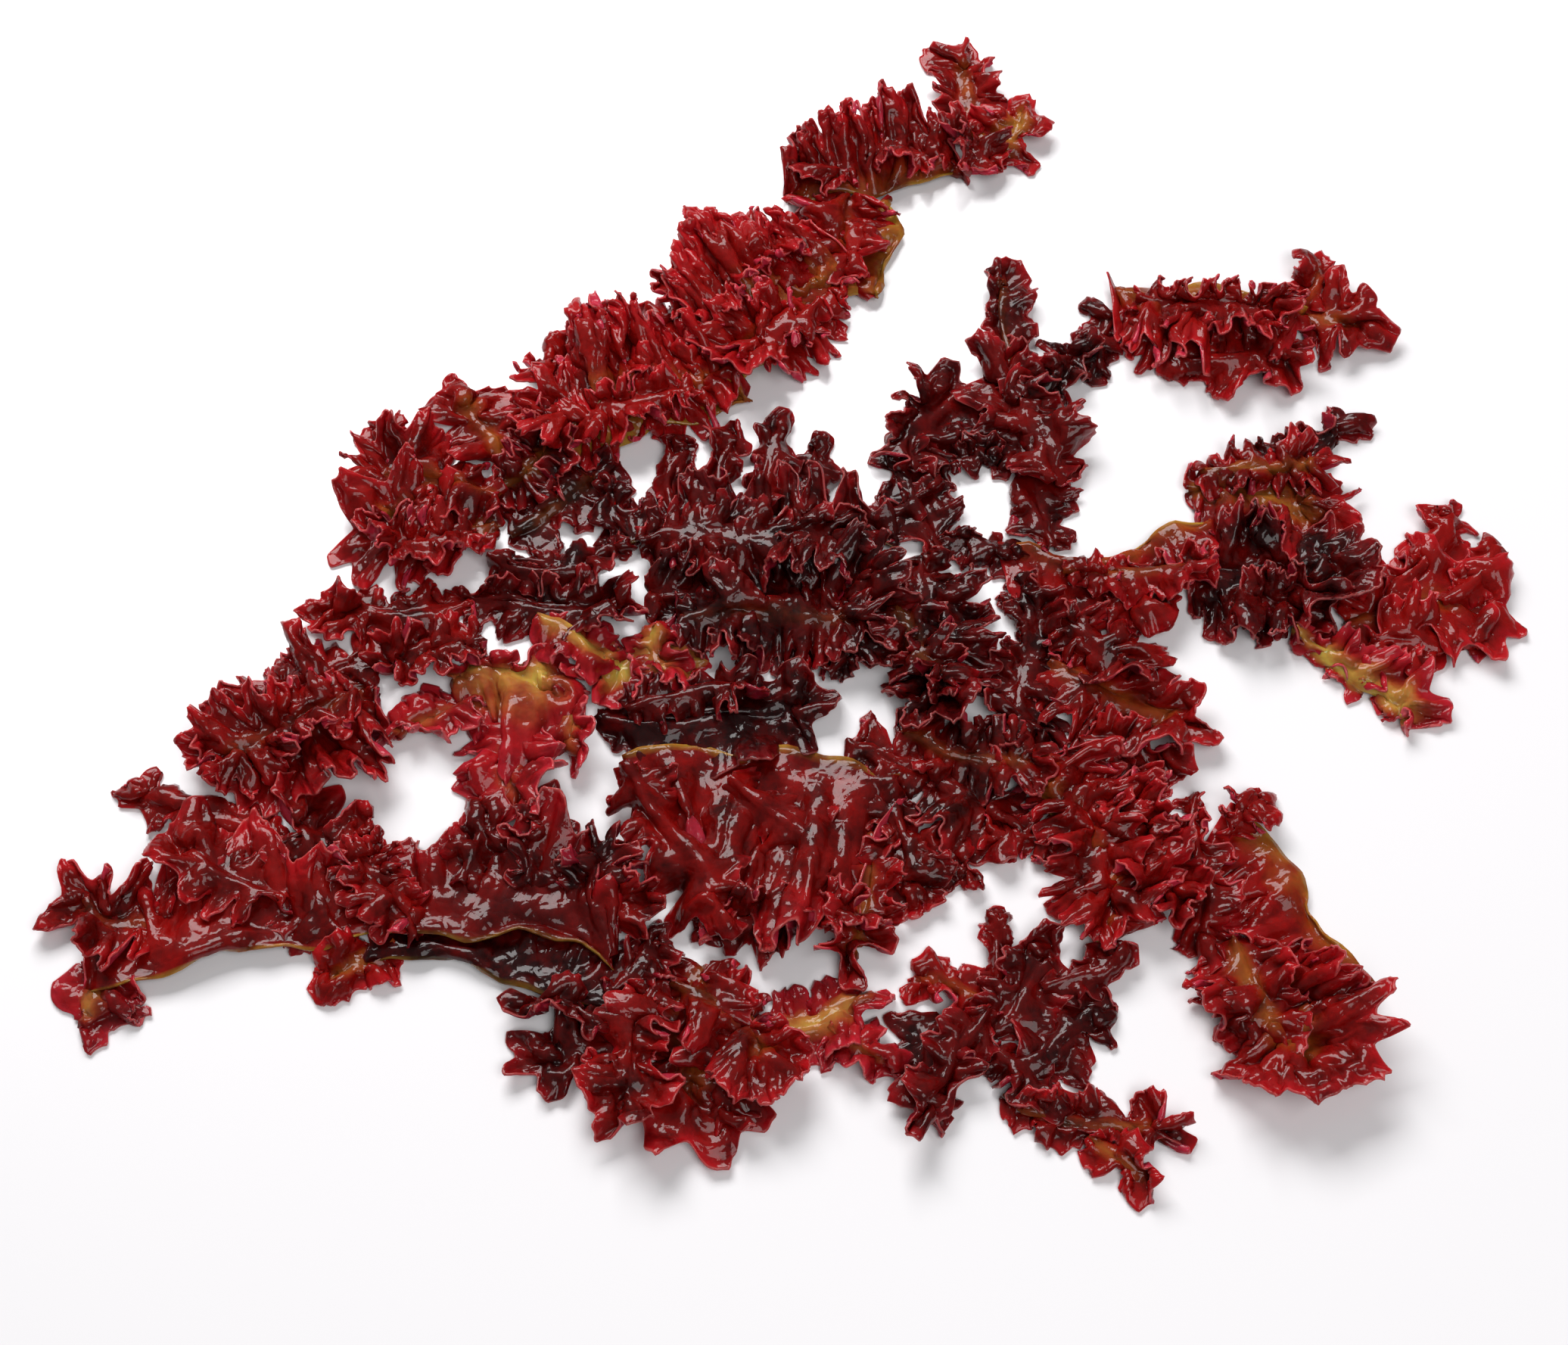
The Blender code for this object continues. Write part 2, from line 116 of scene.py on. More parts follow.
# Each frond's sheets: spine from its root, width left and right of it, height of the spine above the table,
# habit, tone from 0, almost black, to 1, crimson (the sheet's own colour, lowered as painted shade for sheets
# that lie in layers), and how amber its base is.
SHEETS = {
    "summit_fan": [
        (((43, 115), (42, 126), (37, 147)), 8, 7, 0.5, "lobed", 0.7, 0.2),
        (((45, 116), (49, 123), (52, 132)), 8, 7, 1.5, "lobed", 0.85, 0.7),
        (((44, 111), (40, 117), (36, 127)), 6, 6, 3.5, "curly", 0.5, 0.0),
    ],
    "summit_ruffle": [
        (((38, 112), (22, 109), (2, 104)), 0, 16, 0.5, "curly", 0.6, 0.2),
        (((34, 116), (20, 115), (5, 112)), 6, 8, 3.0, "curly", 0.6, 0.0),
    ],
    "summit_turn": [
        (((21, 106), (24, 94), (20, 80)), 0, 13, 0.4, "broad", 0.8, 0.9),
        (((14, 106), (12, 96), (8, 84)), 9, 11, 1.5, "curly", 0.7, 0.1),
    ],
    "long_arm_upper": [
        (((18, 84), (4, 73), (-12, 58)), 0, 24, 0.4, "curly", 0.9, 0.7),
        (((12, 84), (0, 73), (-13, 63)), 9, 10, 2.5, "curly", 0.95, 0.2),
        (((4, 97), (-10, 87), (-24, 77)), 9, 8, 3.0, "curly", 0.85, 0.0),
        (((8, 76), (-1, 68), (-10, 63)), 5, 6, 6.0, "curly", 0.95, 0.0),
    ],
    "long_arm_lower": [
        (((-7, 57), (-26, 46.5), (-48, 41)), 0, 23, 0.4, "curly", 0.85, 0.7),
        (((-10, 63), (-28, 54), (-50, 48)), 9, 9, 2.5, "curly", 0.9, 0.2),
        (((-18, 75), (-34, 65), (-52, 59)), 9, 8, 3.0, "curly", 0.9, 0.0),
        (((-18, 56), (-32, 50), (-44, 48)), 5, 5, 6.0, "curly", 0.85, 0.0),
    ],
    "west_fan": [
        (((-56, 26), (-70, 26), (-86, 26)), 12, 12, 0.4, "lobed", 0.65, 0.5),
        (((-56, 32), (-68, 35), (-85, 37)), 9, 9, 2.5, "curly", 0.6, 0.2),
        (((-60, 22), (-71, 20), (-82, 22)), 6, 6, 3.5, "curly", 0.6, 0.0),
    ],
    "west_plume": [(((-56, 40), (-61, 49), (-66, 60)), 8, 9, 1.0, "lobed", 0.75, 0.3)],
    "west_horn": [(((-73, 42), (-78, 46), (-84, 50)), 5, 5, 0.6, "lobed", 0.65, 0.1)],
    "west_hook": [
        (((-54, 24), (-44, 30), (-35, 41)), 8, 7, 0.5, "lobed", 0.35, 0.2),
        (((-57, 33), (-49, 39), (-45, 51)), 6, 6, 2.0, "curly", 0.5, 0.4),
    ],
    "crown": [
        (((-34, 22), (-6, 20), (22, 22)), 16, 0, 0.8, "lobed", 0.3, 0.0),
        (((-28, 22), (-34, 28), (-37, 37)), 5, 5, 1.0, "paddle", 0.35, 0.0),
        (((-21, 26), (-22, 36), (-20, 47)), 5, 5, 1.0, "paddle", 0.45, 0.0),
        (((-13, 28), (-12, 38), (-11, 50)), 6, 5, 1.5, "paddle", 0.5, 0.0),
        (((-4, 28), (-3, 39), (-1, 51)), 6, 6, 2.5, "paddle", 0.5, 0.0),
        (((4, 27), (6, 36), (7, 47)), 5, 6, 2.0, "paddle", 0.45, 0.0),
        (((16, 24), (23, 30), (30, 36)), 5, 5, 1.0, "paddle", 0.5, 0.0),
        (((-28, 20), (-6, 22), (16, 20)), 7, 8, 4.5, "curly", 0.4, 0.0),
    ],
    "north_east_lobe": [
        (((32, 18), (25, 32), (24, 47)), 8, 8, 0.5, "paddle", 0.35, 0.0),
        (((24, 38), (27, 50), (31, 62)), 7, 10, 2.0, "lobed", 0.4, 0.0),
        (((30, 23), (38, 22), (48, 20)), 3, 6, 1.0, "lobed", 0.35, 0.0),
        (((29, 40), (36, 42), (44, 41)), 4, 3, 1.0, "curly", 0.35, 0.0),
    ],
    "north_east_blade": [
        (((52, 20), (50, 36), (46, 52), (46, 66)), 9, 9, 0.5, "lobed", 0.5, 0.0),
        (((54, 34), (50, 46), (46, 60)), 8, 9, 3.5, "lobed", 0.62, 0.0),
        (((46, 56), (45, 69), (45, 87)), 6, 7, 2.5, "paddle", 0.4, 0.2),
        (((48, 54), (56, 60), (60, 70)), 6, 6, 2.0, "lobed", 0.3, 0.0),
    ],
    "north_east_spur": [(((62, 60), (64, 69), (67, 79)), 5, 5, 0.6, "lobed", 0.4, 0.0)],
    "far_ribbon": [
        (((68, 84), (84, 83), (108, 80)), 0, 20, 0.5, "lobed", 0.85, 0.5),
        (((70, 73), (88, 64), (106, 68)), 8, 8, 2.5, "lobed", 0.6, 0.0),
        (((72, 79), (86, 77), (104, 75)), 5, 8, 4.0, "curly", 0.65, 0.0),
    ],
    "far_ribbon_end": [(((107, 76), (115, 75), (123, 71)), 9, 9, 0.6, "lobed", 0.65, 0.2),
                       (((108, 78), (111, 85), (110, 92)), 5, 5, 1.5, "lobed", 0.7, 0.1)],
    "east_band": [
        (((44, 21), (61, 18), (84, 28)), 0, 17, 0.6, "broad", 0.7, 0.3),
        (((62, 9), (69, 8), (76, 10)), 6, 7, 2.0, "lobed", 0.45, 0.0),
        (((54, 15), (68, 13), (82, 18)), 4, 6, 3.5, "lobed", 0.55, 0.2),
    ],
    "east_sprig": [(((94, 43), (104, 45), (114, 53)), 4, 7, 1.0, "lobed", 0.3, 0.0)],
    "east_ruffle": [
        (((80, 34), (95, 33), (109, 28)), 8, 10, 0.5, "curly", 0.6, 0.5),
        (((82, 37), (96, 37), (108, 40)), 6, 5, 3.0, "curly", 0.55, 0.3),
    ],
    "east_under_ruffle": [
        (((80, 16), (94, 14), (111, 16)), 11, 13, 0.5, "curly", 0.3, 0.0),
        (((88, 6), (97, 7), (106, 7)), 7, 7, 2.0, "curly", 0.35, 0.0),
    ],
    "outer_fan": [
        (((108, 3), (122, 8), (140, 9)), 14, 13, 0.5, "broad", 0.95, 0.2),
        (((116, 8), (125, 18), (131, 31)), 5, 7, 2.0, "broad", 0.9, 0.0),
        (((127, 7), (135, 15), (140, 22)), 4, 4, 2.5, "broad", 0.85, 0.0),
        (((112, -1), (124, -1), (136, 2)), 9, 6, 2.0, "lobed", 0.85, 0.0),
    ],
    "outer_lobe": [
        (((100, 2), (110, -11), (121, -18)), 9, 3, 0.5, "lobed", 0.8, 1.0),
        (((98, 3), (105, -4), (113, -11)), 5, 3, 1.5, "paddle", 0.8, 1.0),
    ],
    "inner_ruffle": [
        (((46, 14), (47, -3), (43, -23)), 7, 6, 0.8, "curly", 0.3, 0.0),
    ],
    "middle_ruffle": [
        (((26, 19), (30, 2), (27, -17)), 9, 8, 1.0, "curly", 0.25, 0.0),
        (((22, 10), (24, -2), (32, -14)), 6, 6, 4.0, "curly", 0.3, 0.2),
    ],
    "east_blade": [
        (((50, -5), (64, -12), (80, -21)), 9, 12, 0.5, "lobed", 0.6, 0.2),
        (((52, 3), (61, -2), (70, -8)), 7, 7, 3.0, "curly", 0.35, 0.0),
        (((56, -20), (65, -23), (75, -28)), 6, 7, 1.5, "lobed", 0.6, 0.0),
    ],
    "south_east_ruffle": [
        (((46, -26), (51, -42), (58, -62)), 18, 0, 0.4, "curly", 0.6, 0.4),
        (((52, -26), (57, -42), (62, -60)), 8, 8, 2.5, "curly", 0.6, 0.0),
        (((62, -28), (67, -42), (70, -58)), 7, 7, 2.0, "curly", 0.6, 0.0),
    ],
    "south_east_link": [(((77, -32), (76, -46), (76, -65)), 6, 5, 0.8, "lobed", 0.55, 0.0)],
    "south_east_blade": [
        (((84, -36), (94, -49), (105, -71)), 0, 18, 0.5, "broad", 0.9, 0.4),
        (((82, -41), (87, -36), (91, -32)), 5, 5, 2.0, "lobed", 0.7, 0.0),
    ],
    "south_east_end": [
        (((85, -66), (89, -79), (95, -92)), 14, 12, 0.5, "curly", 0.6, 0.4),
        (((80, -62), (84, -72), (90, -84)), 8, 9, 3.0, "lobed", 0.6, 0.3),
    ],
    "low_sprig_left": [
        (((28, -76), (25, -86), (26, -96)), 9, 9, 0.5, "paddle", 0.35, 0.0),
        (((38, -76), (30, -84), (24, -98)), 5, 6, 3.5, "lobed", 0.45, 0.0),
    ],
    "low_sprig_top": [
        (((37, -80), (43, -70), (49, -60)), 8, 9, 0.5, "paddle", 0.45, 0.0),
        (((37, -72), (38, -64), (39, -55)), 3.5, 3.5, 1.5, "paddle", 0.75, 0.0),
        (((46, -72), (54, -69), (61, -62)), 5, 5, 2.5, "paddle", 0.4, 0.0),
    ],
    "low_sprig_blade": [
        (((42, -88), (51, -81), (60, -75)), 9, 7, 0.6, "paddle", 0.4, 0.0),
        (((37, -82), (42, -87), (46, -94)), 5, 5, 2.0, "lobed", 0.4, 0.0),
    ],
    "low_sprig_end": [
        (((38, -91), (54, -97), (69, -97)), 6, 5, 0.5, "lobed", 0.5, 0.2),
        (((53, -98), (59, -104), (63, -109)), 5, 4, 0.5, "lobed", 0.8, 0.3),
    ],
    "low_sprig_leaf": [(((36, -73), (29, -70), (21, -71)), 5, 5, 0.6, "lobed", 0.8, 0.2)],
    "low_band": [
        (((-4, -79), (7, -77), (18, -72)), 7, 7, 0.6, "broad", 0.7, 0.7),
        (((8, -78), (14, -83), (20, -87)), 5, 5, 1.5, "lobed", 0.6, 0.2),
    ],
    "low_fan": [
        (((-15, -66), (-17, -82), (-16, -99)), 14, 14, 0.5, "lobed", 0.5, 0.2),
        (((-20, -70), (-8, -76), (0, -89)), 6, 9, 3.0, "curly", 0.55, 0.2),
        (((-22, -70), (-27, -81), (-27, -98)), 8, 8, 3.0, "lobed", 0.4, 0.0),
        (((-14, -74), (-10, -86), (-9, -99)), 7, 7, 2.0, "lobed", 0.5, 0.0),
    ],
    "low_ruffle": [
        (((-30, -81), (-38, -83), (-47, -81)), 9, 8, 0.5, "lobed", 0.35, 0.0),
        (((-30, -78), (-38, -76), (-49, -75)), 5, 5, 3.0, "lobed", 0.35, 0.0),
        (((-32, -72), (-26, -67), (-20, -60)), 5, 6, 1.5, "lobed", 0.4, 0.0),
    ],
    "dark_blade": [(((-74, -65), (-52, -68), (-25, -80)), 16, 0, 0.4, "broad", 0.1, 0.0)],
    "glossy_blade": [
        (((-76, -62), (-54, -61), (-30, -66)), 24, 0, 2.0, "broad", 0.65, 0.0),
        (((-58, -52), (-56, -44), (-57, -35)), 6, 6, 3.0, "lobed", 0.5, 0.0),
        (((-46, -52), (-44, -42), (-46, -34)), 7, 7, 3.5, "lobed", 0.4, 0.0),
        (((-36, -54), (-34, -48), (-37, -41)), 6, 6, 2.5, "curly", 0.35, 0.0),
    ],
    "south_west_blade": [
        (((-124, -71), (-106, -67), (-90, -63), (-70, -62)), 23, 0, 1.5, "broad", 0.62, 0.0),
        (((-78, -62), (-86, -50), (-88, -32)), 10, 10, 2.5, "broad", 0.5, 0.0),
        (((-90, -56), (-102, -49), (-114, -42)), 9, 11, 3.0, "broad", 0.6, 0.0),
        (((-72, -58), (-77, -48), (-78, -37)), 6, 6, 3.5, "lobed", 0.55, 0.0),
        (((-66, -62), (-74, -52), (-75, -42)), 6, 5, 3.0, "curly", 0.45, 0.0),
    ],
    "south_west_tip": [(((-112, -60), (-123, -57), (-134, -55)), 9, 10, 0.5, "lobed", 0.55, 0.1)],
    "south_west_horn": [(((-90, -42), (-105, -37), (-123, -31)), 6, 6, 1.0, "broad", 0.65, 0.0)],
    "south_west_tail": [(((-119, -66), (-124, -73), (-122, -81)), 10, 7, 0.5, "broad", 0.5, 0.4)],
    "south_west_spur": [(((-70, -62), (-76, -66), (-84, -71)), 6, 6, 0.5, "lobed", 0.75, 0.4)],
    "west_arm_ruffle": [
        (((-79, -9), (-93, -19), (-106, -28)), 14, 12, 0.5, "curly", 0.55, 0.1),
        (((-80, -14), (-94, -21), (-108, -30)), 8, 8, 4.0, "curly", 0.55, 0.1),
        (((-74, -2), (-86, -8), (-98, -12)), 6, 7, 1.0, "lobed", 0.5, 0.0),
    ],
    "west_arm_link": [
        (((-60, 8), (-76, 6), (-91, 4)), 8, 6, 0.8, "lobed", 0.5, 0.0),
        (((-58, 1), (-67, -4), (-78, -8)), 5, 6, 2.0, "curly", 0.5, 0.0),
    ],
    "amber_blade": [
        (((-64, -8), (-52, -5), (-36, -8)), 6, 22, 0.8, "broad", 0.75, 0.9),
        (((-50, -18), (-51, -28), (-48, -40)), 10, 9, 2.0, "lobed", 0.8, 0.2),
        (((-44, -12), (-40, -18), (-38, -27)), 6, 6, 2.5, "lobed", 0.75, 0.5),
        (((-58, -12), (-67, -18), (-77, -21)), 7, 7, 0.8, "lobed", 0.7, 0.3),
    ],
    "amber_strip": [
        (((-15, -4), (-28, -5), (-40, -7)), 9, 9, 0.5, "lobed", 0.7, 1.0),
        (((-48, 5), (-40, 1), (-30, -6)), 5, 7, 2.0, "broad", 0.7, 0.8),
        (((-26, 2), (-24, -4), (-22, -12)), 5, 5, 3.0, "lobed", 0.7, 0.9),
    ],
    "crown_link": [(((-55, 18), (-43, 18), (-31, 20)), 2.5, 3, 0.8, "lobed", 0.35, 0.0)],
    "folded_blade": [
        (((-62, 10), (-47, 7), (-28, 8)), 7, 8, 0.8, "lobed", 0.3, 0.0),
        (((-58, 16), (-46, 14), (-34, 15)), 5, 5, 4.0, "lobed", 0.35, 0.0),
    ],
    "heart_ruffle": [
        (((-26, 10), (-6, 9), (21, 7)), 12, 11, 1.0, "curly", 0.2, 0.0),
        (((-20, 4), (-4, 4), (18, 3)), 8, 8, 4.5, "curly", 0.3, 0.1),
    ],
    "heart_dark_blade": [
        (((-36, -17), (-16, -17), (9, -13)), 9, 11, 0.8, "paddle", 0.1, 0.0),
        (((-30, -16), (-18, -12), (-4, -12)), 6, 6, 4.0, "lobed", 0.4, 0.0),
        (((8, -8), (14, -4), (22, -2)), 5, 4, 3.0, "lobed", 0.15, 0.0),
    ],
    "heart_blade": [
        (((-30, -26), (-14, -22), (22, -28)), 0, 38, 0.6, "broad", 0.45, 0.0),
        (((-30, -28), (-21, -42), (-9, -60)), 9, 9, 5.5, "broad", 0.45, 0.0),
        (((-10, -30), (2, -42), (10, -56)), 10, 9, 3.5, "broad", 0.5, 0.0),
        (((-34, -44), (-31, -52), (-25, -59)), 6, 6, 2.0, "curly", 0.35, 0.0),
        (((-16, -57), (0, -59), (14, -56)), 6, 6, 2.0, "curly", 0.4, 0.0),
    ],
    "heart_low_ruffle": [(((16, -40), (16, -54), (12, -69)), 7, 8, 0.8, "lobed", 0.55, 0.3)],
    "heart_east_ruffle": [
        (((24, -42), (30, -47), (36, -50)), 5, 4, 0.8, "curly", 0.5, 0.0),
        (((37, -40), (45, -41), (52, -42)), 4, 4, 1.5, "curly", 0.5, 0.0),
    ],
    "heart_east_blade": [
        (((12, -22), (27, -27), (43, -42)), 10, 10, 0.5, "lobed", 0.3, 0.0),
        (((14, -30), (21, -40), (25, -55)), 7, 7, 1.0, "lobed", 0.4, 0.0),
        (((22, -20), (34, -26), (50, -28)), 7, 6, 3.0, "curly", 0.3, 0.1),
    ],
}


def smooth_curve(points, shares):
    """Spots at these shares of a smooth curve's length, the curve's directions there, and its length."""
    known = np.array(points, float)
    known = np.vstack([2 * known[0] - known[1], known, 2 * known[-1] - known[-2]])
    spans = len(points) - 1

    def spot(u):
        span = np.minimum(u * spans, spans - 1e-6).astype(int)
        t = (u * spans - span)[:, None]
        a, b, c, d = (known[span + k] for k in range(4))
        squares, cubes = 2 * a - 5 * b + 4 * c - d, 3 * b - a - 3 * c + d
        return 0.5 * (2 * b + (c - a) * t + squares * t**2 + cubes * t**3)

    fine = np.linspace(0, 1, 200)
    steps = np.linalg.norm(np.diff(spot(fine), axis=0), axis=1)
    walked = np.concatenate([[0], np.cumsum(steps)])
    length = walked[-1]
    near = 0.4  # how far ahead and behind the direction is taken
    ahead = spot(np.interp(shares * length + near, walked, fine))
    behind = spot(np.interp(shares * length - near, walked, fine))
    along = ahead - behind
    along /= np.linalg.norm(along, axis=1)[:, None]
    return spot(np.interp(shares * length, walked, fine)), along, length


class Sheet:
    """One thin sheet of a frond before it grows: a ribbon beside its spine, or a blade on both its sides."""

    TIP = 0.13  # share of a blade's margin that goes round its tip, on each side
    MARGIN_STEP = 0.25  # distance between the spots of the margin's outline
    TOOTH_POINT = 2.4  # the higher, the thinner the teeth's points
    CUT_NARROW = 3.5  # the higher, the narrower the cuts between the lobes
    CUTS_FROM, TEETH_FROM = 0.12, 0.6  # shares of the width at which the cuts and the teeth begin to show
    MEANDER = 2.15  # steepest angle of a fold, over the root of the share of its length that is surplus
    FOLD_SPOTS = 1500  # spots along a row while its folds are worked out

    def __init__(self, spine, left, right, lift, habit, tone, amber, seed):
        self.spine, self.lift = spine, lift
        self.habit, self.tone, self.amber = HABITS[habit], tone, amber
        self.left, self.right = left * self.habit["unrolled"], right * self.habit["unrolled"]
        self.rng = np.random.default_rng(seed)
        self.length = smooth_curve(spine, np.array([0.0, 1.0]))[2]
        self.two_sided = left > 0 and right > 0
        self.width = (self.left + self.right) / 2 if self.two_sided else max(self.left, self.right)
        self.reach = self.length
        if self.two_sided:
            # Its sides run beside the spine up to here, and leave room for its round tip.
            self.reach = max(self.length - 0.6 * self.width, 0.35 * self.length)
        self.walk = self.reach * 2 if self.two_sided else self.reach
        self.turn = math.pi * self.width if self.two_sided else 0.0
        self.sway = self.rng.uniform(0, 2 * math.pi, 3)
        self.base_rise = self.wave(period=14.0, weak=0.2, strong=1.0)
        self.skew = self.wave(period=2.6 * self.habit["fold"], weak=0.3, strong=1.0)
        self.margin = self.cut_margin(self.row_length(1.0, 1.0))

    def row_length(self, f, grown):
        """Length of the sheet along its margin's way, at this share f of its width."""
        surplus = grown ** self.habit["early"] * (self.habit["growth"] - 1) * f ** self.habit["onset"]
        return self.walk * (1 + surplus) + self.turn * f

    def cut_margin(self, length):
        """The margin along its way: its lobes, as cuts between them, and its sharp teeth."""
        rng, habit = self.rng, self.habit
        at = np.linspace(0, length, int(length / self.MARGIN_STEP) + 2)
        many = int(length / habit["tooth_step"] * 2) + 8
        tips = np.cumsum(rng.uniform(0.5, 1.6, many)) * habit["tooth_step"]
        depth = rng.uniform(0.3, 1.25, len(tips)) * habit["tooth"]
        beat = np.interp(at, tips, np.arange(len(tips)))
        low = np.minimum(beat.astype(int), len(tips) - 2)
        part = beat - low
        teeth = depth[low] * (1 - part) ** self.TOOTH_POINT + depth[low + 1] * part**self.TOOTH_POINT
        many = int(length / habit["lobe_step"] * 2) + 8
        ends = np.cumsum(rng.uniform(0.5, 1.5, many)) * habit["lobe_step"]
        beat = np.interp(at, np.concatenate([[0], ends]), np.arange(len(ends) + 1))
        cuts = np.abs(np.cos(math.pi * beat)) ** self.CUT_NARROW
        deep = rng.uniform(0.3, 1.3, len(ends) + 2)[np.round(beat).astype(int)]
        return at / length, -min(habit["lobe"], 0.5 * self.width) * cuts * deep, teeth

    def rows(self, step, grown):
        """Spots in rows from the base to the margin, t along the row and f across, and their triangles."""
        count = max(4, round(self.width / (1.15 * step)))
        levels = 1 - (1 - np.linspace(0, 1, count + 1)) ** 1.25
        sizes = step * (1.45 - 0.75 * levels)  # the triangles are finest at the margin
        counts = [max(5, int(self.row_length(f, grown) / size)) for f, size in zip(levels, sizes)]
        starts = np.concatenate([[0], np.cumsum(counts)])[:-1]
        t = [np.linspace(0, 1, many) for many in counts]
        faces = np.vstack([zip_rows(t[k], starts[k], t[k + 1], starts[k + 1]) for k in range(count)])
        if self.right:
            faces = faces[:, ::-1]  # so that every sheet's upper side is the one that its faces point to
        return np.concatenate(t), np.repeat(levels, counts), (levels, starts, counts), faces

    def lay(self, t, f):
        """Where these spots lie on the plan before any growth, how far they are from the base, also as a
        share of the sheet's width, and which way they are from it."""
        if self.two_sided:
            from_root = np.minimum(np.minimum(t, 1 - t) / (0.5 - self.TIP), 1.0)
            swing = np.clip((t - 0.5) / self.TIP, -1, 1) * math.pi / 2
            full = self.right + (self.left - self.right) * (0.5 + 0.5 * np.sin(swing))
            taper = 0.45 + 0.55 * np.sin(np.minimum(from_root / 0.4, 1) * math.pi / 2)  # to its root
        else:
            from_root, full = t, self.width
            swing = math.pi / 2 * (1 if self.left > 0 else -1) * np.ones_like(t)
            taper = 0.25 + 0.75 * np.abs(np.sin(math.pi * t)) ** 0.4  # to both its ends
        spots, along, _ = smooth_curve(self.spine, from_root * self.reach / self.length)
        beside = np.stack([-along[:, 1], along[:, 0]], 1)
        way = along * np.cos(swing)[:, None] + beside * np.sin(swing)[:, None]
        a, b, c = self.sway
        # No two stretches of a sheet are equally wide, and its base strays a little from the spine.
        width = full * taper * (1 + 0.09 * np.sin(9 * t + a) + 0.07 * np.sin(19 * t + b))
        at, lobes, teeth = self.margin
        cut_depth = np.clip((f - self.CUTS_FROM) / (1 - self.CUTS_FROM), 0, 1)
        reach = width * f + np.interp(t, at, lobes) * cut_depth
        share = reach / width
        reach += np.interp(t, at, teeth) * np.clip((f - self.TEETH_FROM) / (1 - self.TEETH_FROM), 0, 1)
        plan = spots + way * reach[:, None]
        stray = np.sin(self.length / 5 * from_root + c) + 0.6 * np.sin(self.length / 2.2 * from_root + a)
        plan += beside * ((1.0 if self.two_sided else 1.6) * stray * (1 - f))[:, None]
        return plan, reach, share, way

    def wave(self, period, weak, strong):
        """A wave along the margin, as a function of t: its swings alternate, and differ in size."""
        rng = self.rng
        knots = int(2 * self.walk / period) + 4
        beats = np.cumsum(rng.uniform(0.6, 1.4, knots))
        beats = (beats - beats[0]) / (beats[-2] - beats[0])
        swings = np.where(np.arange(knots) % 2, 1.0, -1.0) * rng.uniform(weak, strong, knots)

        def height(t):
            beat = np.interp(t, beats, np.arange(knots))
            low = np.minimum(beat.astype(int), knots - 2)
            part = (1 - np.cos(math.pi * (beat - low))) / 2
            return swings[low] * (1 - part) + swings[low + 1] * part

        return height

    def first_folds(self, t, plan, reach, way, rows, grown):
        """The sheet in its first folds: each row meanders up and down, as long as it has grown by then."""
        swing = self.wave(self.habit["fold"], weak=0.7, strong=1.15)
        lean = self.wave(3 * self.habit["fold"], weak=0.2, strong=0.8)
        fine = np.linspace(0, 1, self.FOLD_SPOTS)
        climb = self.habit["rise"]
        plan = plan - way * (reach * (1 - math.cos(climb)))[:, None]
        spots = np.column_stack([plan, self.lift + 0.8 * math.sin(climb) * reach])
        for f, start, count in zip(*rows):
            row = slice(start, start + count)
            young, long = self.row_length(f, 0.0), self.row_length(f, grown)
            shift = 0.6 * self.habit["fold"] / self.walk * self.skew(fine) * (f - 0.5)
            angle = self.MEANDER * math.sqrt(1 - young / long) * swing(fine + shift)
            ahead = np.cumsum(np.cos(angle)) * long / self.FOLD_SPOTS
            up = np.cumsum(np.sin(angle)) * long / self.FOLD_SPOTS
            ahead -= ahead[-1] * fine
            up -= np.interp(fine, (0, 0.5, 1), (up[0], up[self.FOLD_SPOTS // 2], up[-1]))
            run = np.gradient(plan[row], axis=0)
            run /= np.linalg.norm(run, axis=1)[:, None] + 1e-6
            rise, tilt = np.interp(t[row], fine, up), lean(t[row])
            spots[row, :2] += run * np.interp(t[row], fine, ahead)[:, None]
            spots[row, :2] += way[row] * (np.sin(tilt) * rise)[:, None]
            # Deep folds stand on the table, so their middle is higher up.
            stand = 0.6 * np.std(up) + 1.2 * (1 - f) * (1 + self.base_rise(t[row]))
            spots[row, 2] += stand + np.cos(tilt) * rise
        return spots


def zip_rows(t_low, start_low, t_high, start_high):
    """Triangles between two rows: each stretch of one row meets the spot of the other that lies abreast."""
    mid_low = (t_low[1:] + t_low[:-1]) / 2
    mid_high = (t_high[1:] + t_high[:-1]) / 2
    k = np.arange(len(mid_low))
    lower = np.stack([start_low + k, start_low + k + 1, start_high + np.searchsorted(mid_high, mid_low)], 1)
    k = np.arange(len(mid_high))
    abreast = np.searchsorted(mid_low, mid_high, side="right")
    upper = np.stack([start_high + k + 1, start_high + k, start_low + abreast], 1)
    return np.vstack([lower, upper])


def carry_over(coarse, number, t, f):
    """The places that a coarser stage of a sheet has at these spots."""
    start, (levels, starts, counts) = coarse["spans"][number]
    spots = np.zeros((len(t), 3))
    band = np.clip(np.searchsorted(levels, f, side="right") - 1, 0, len(levels) - 2)
    for k in range(len(levels) - 1):
        here = band == k
        part = ((f[here] - levels[k]) / (levels[k + 1] - levels[k]))[:, None]
        ends = []
        for row in (k, k + 1):
            span = slice(start + starts[row], start + starts[row] + counts[row])
            known_t, known = coarse["t"][span], coarse["spots"][span]
            ends.append(np.stack([np.interp(t[here], known_t, known[:, axis]) for axis in range(3)], 1))
        spots[here] = ends[0] * (1 - part) + ends[1] * part
    return spots


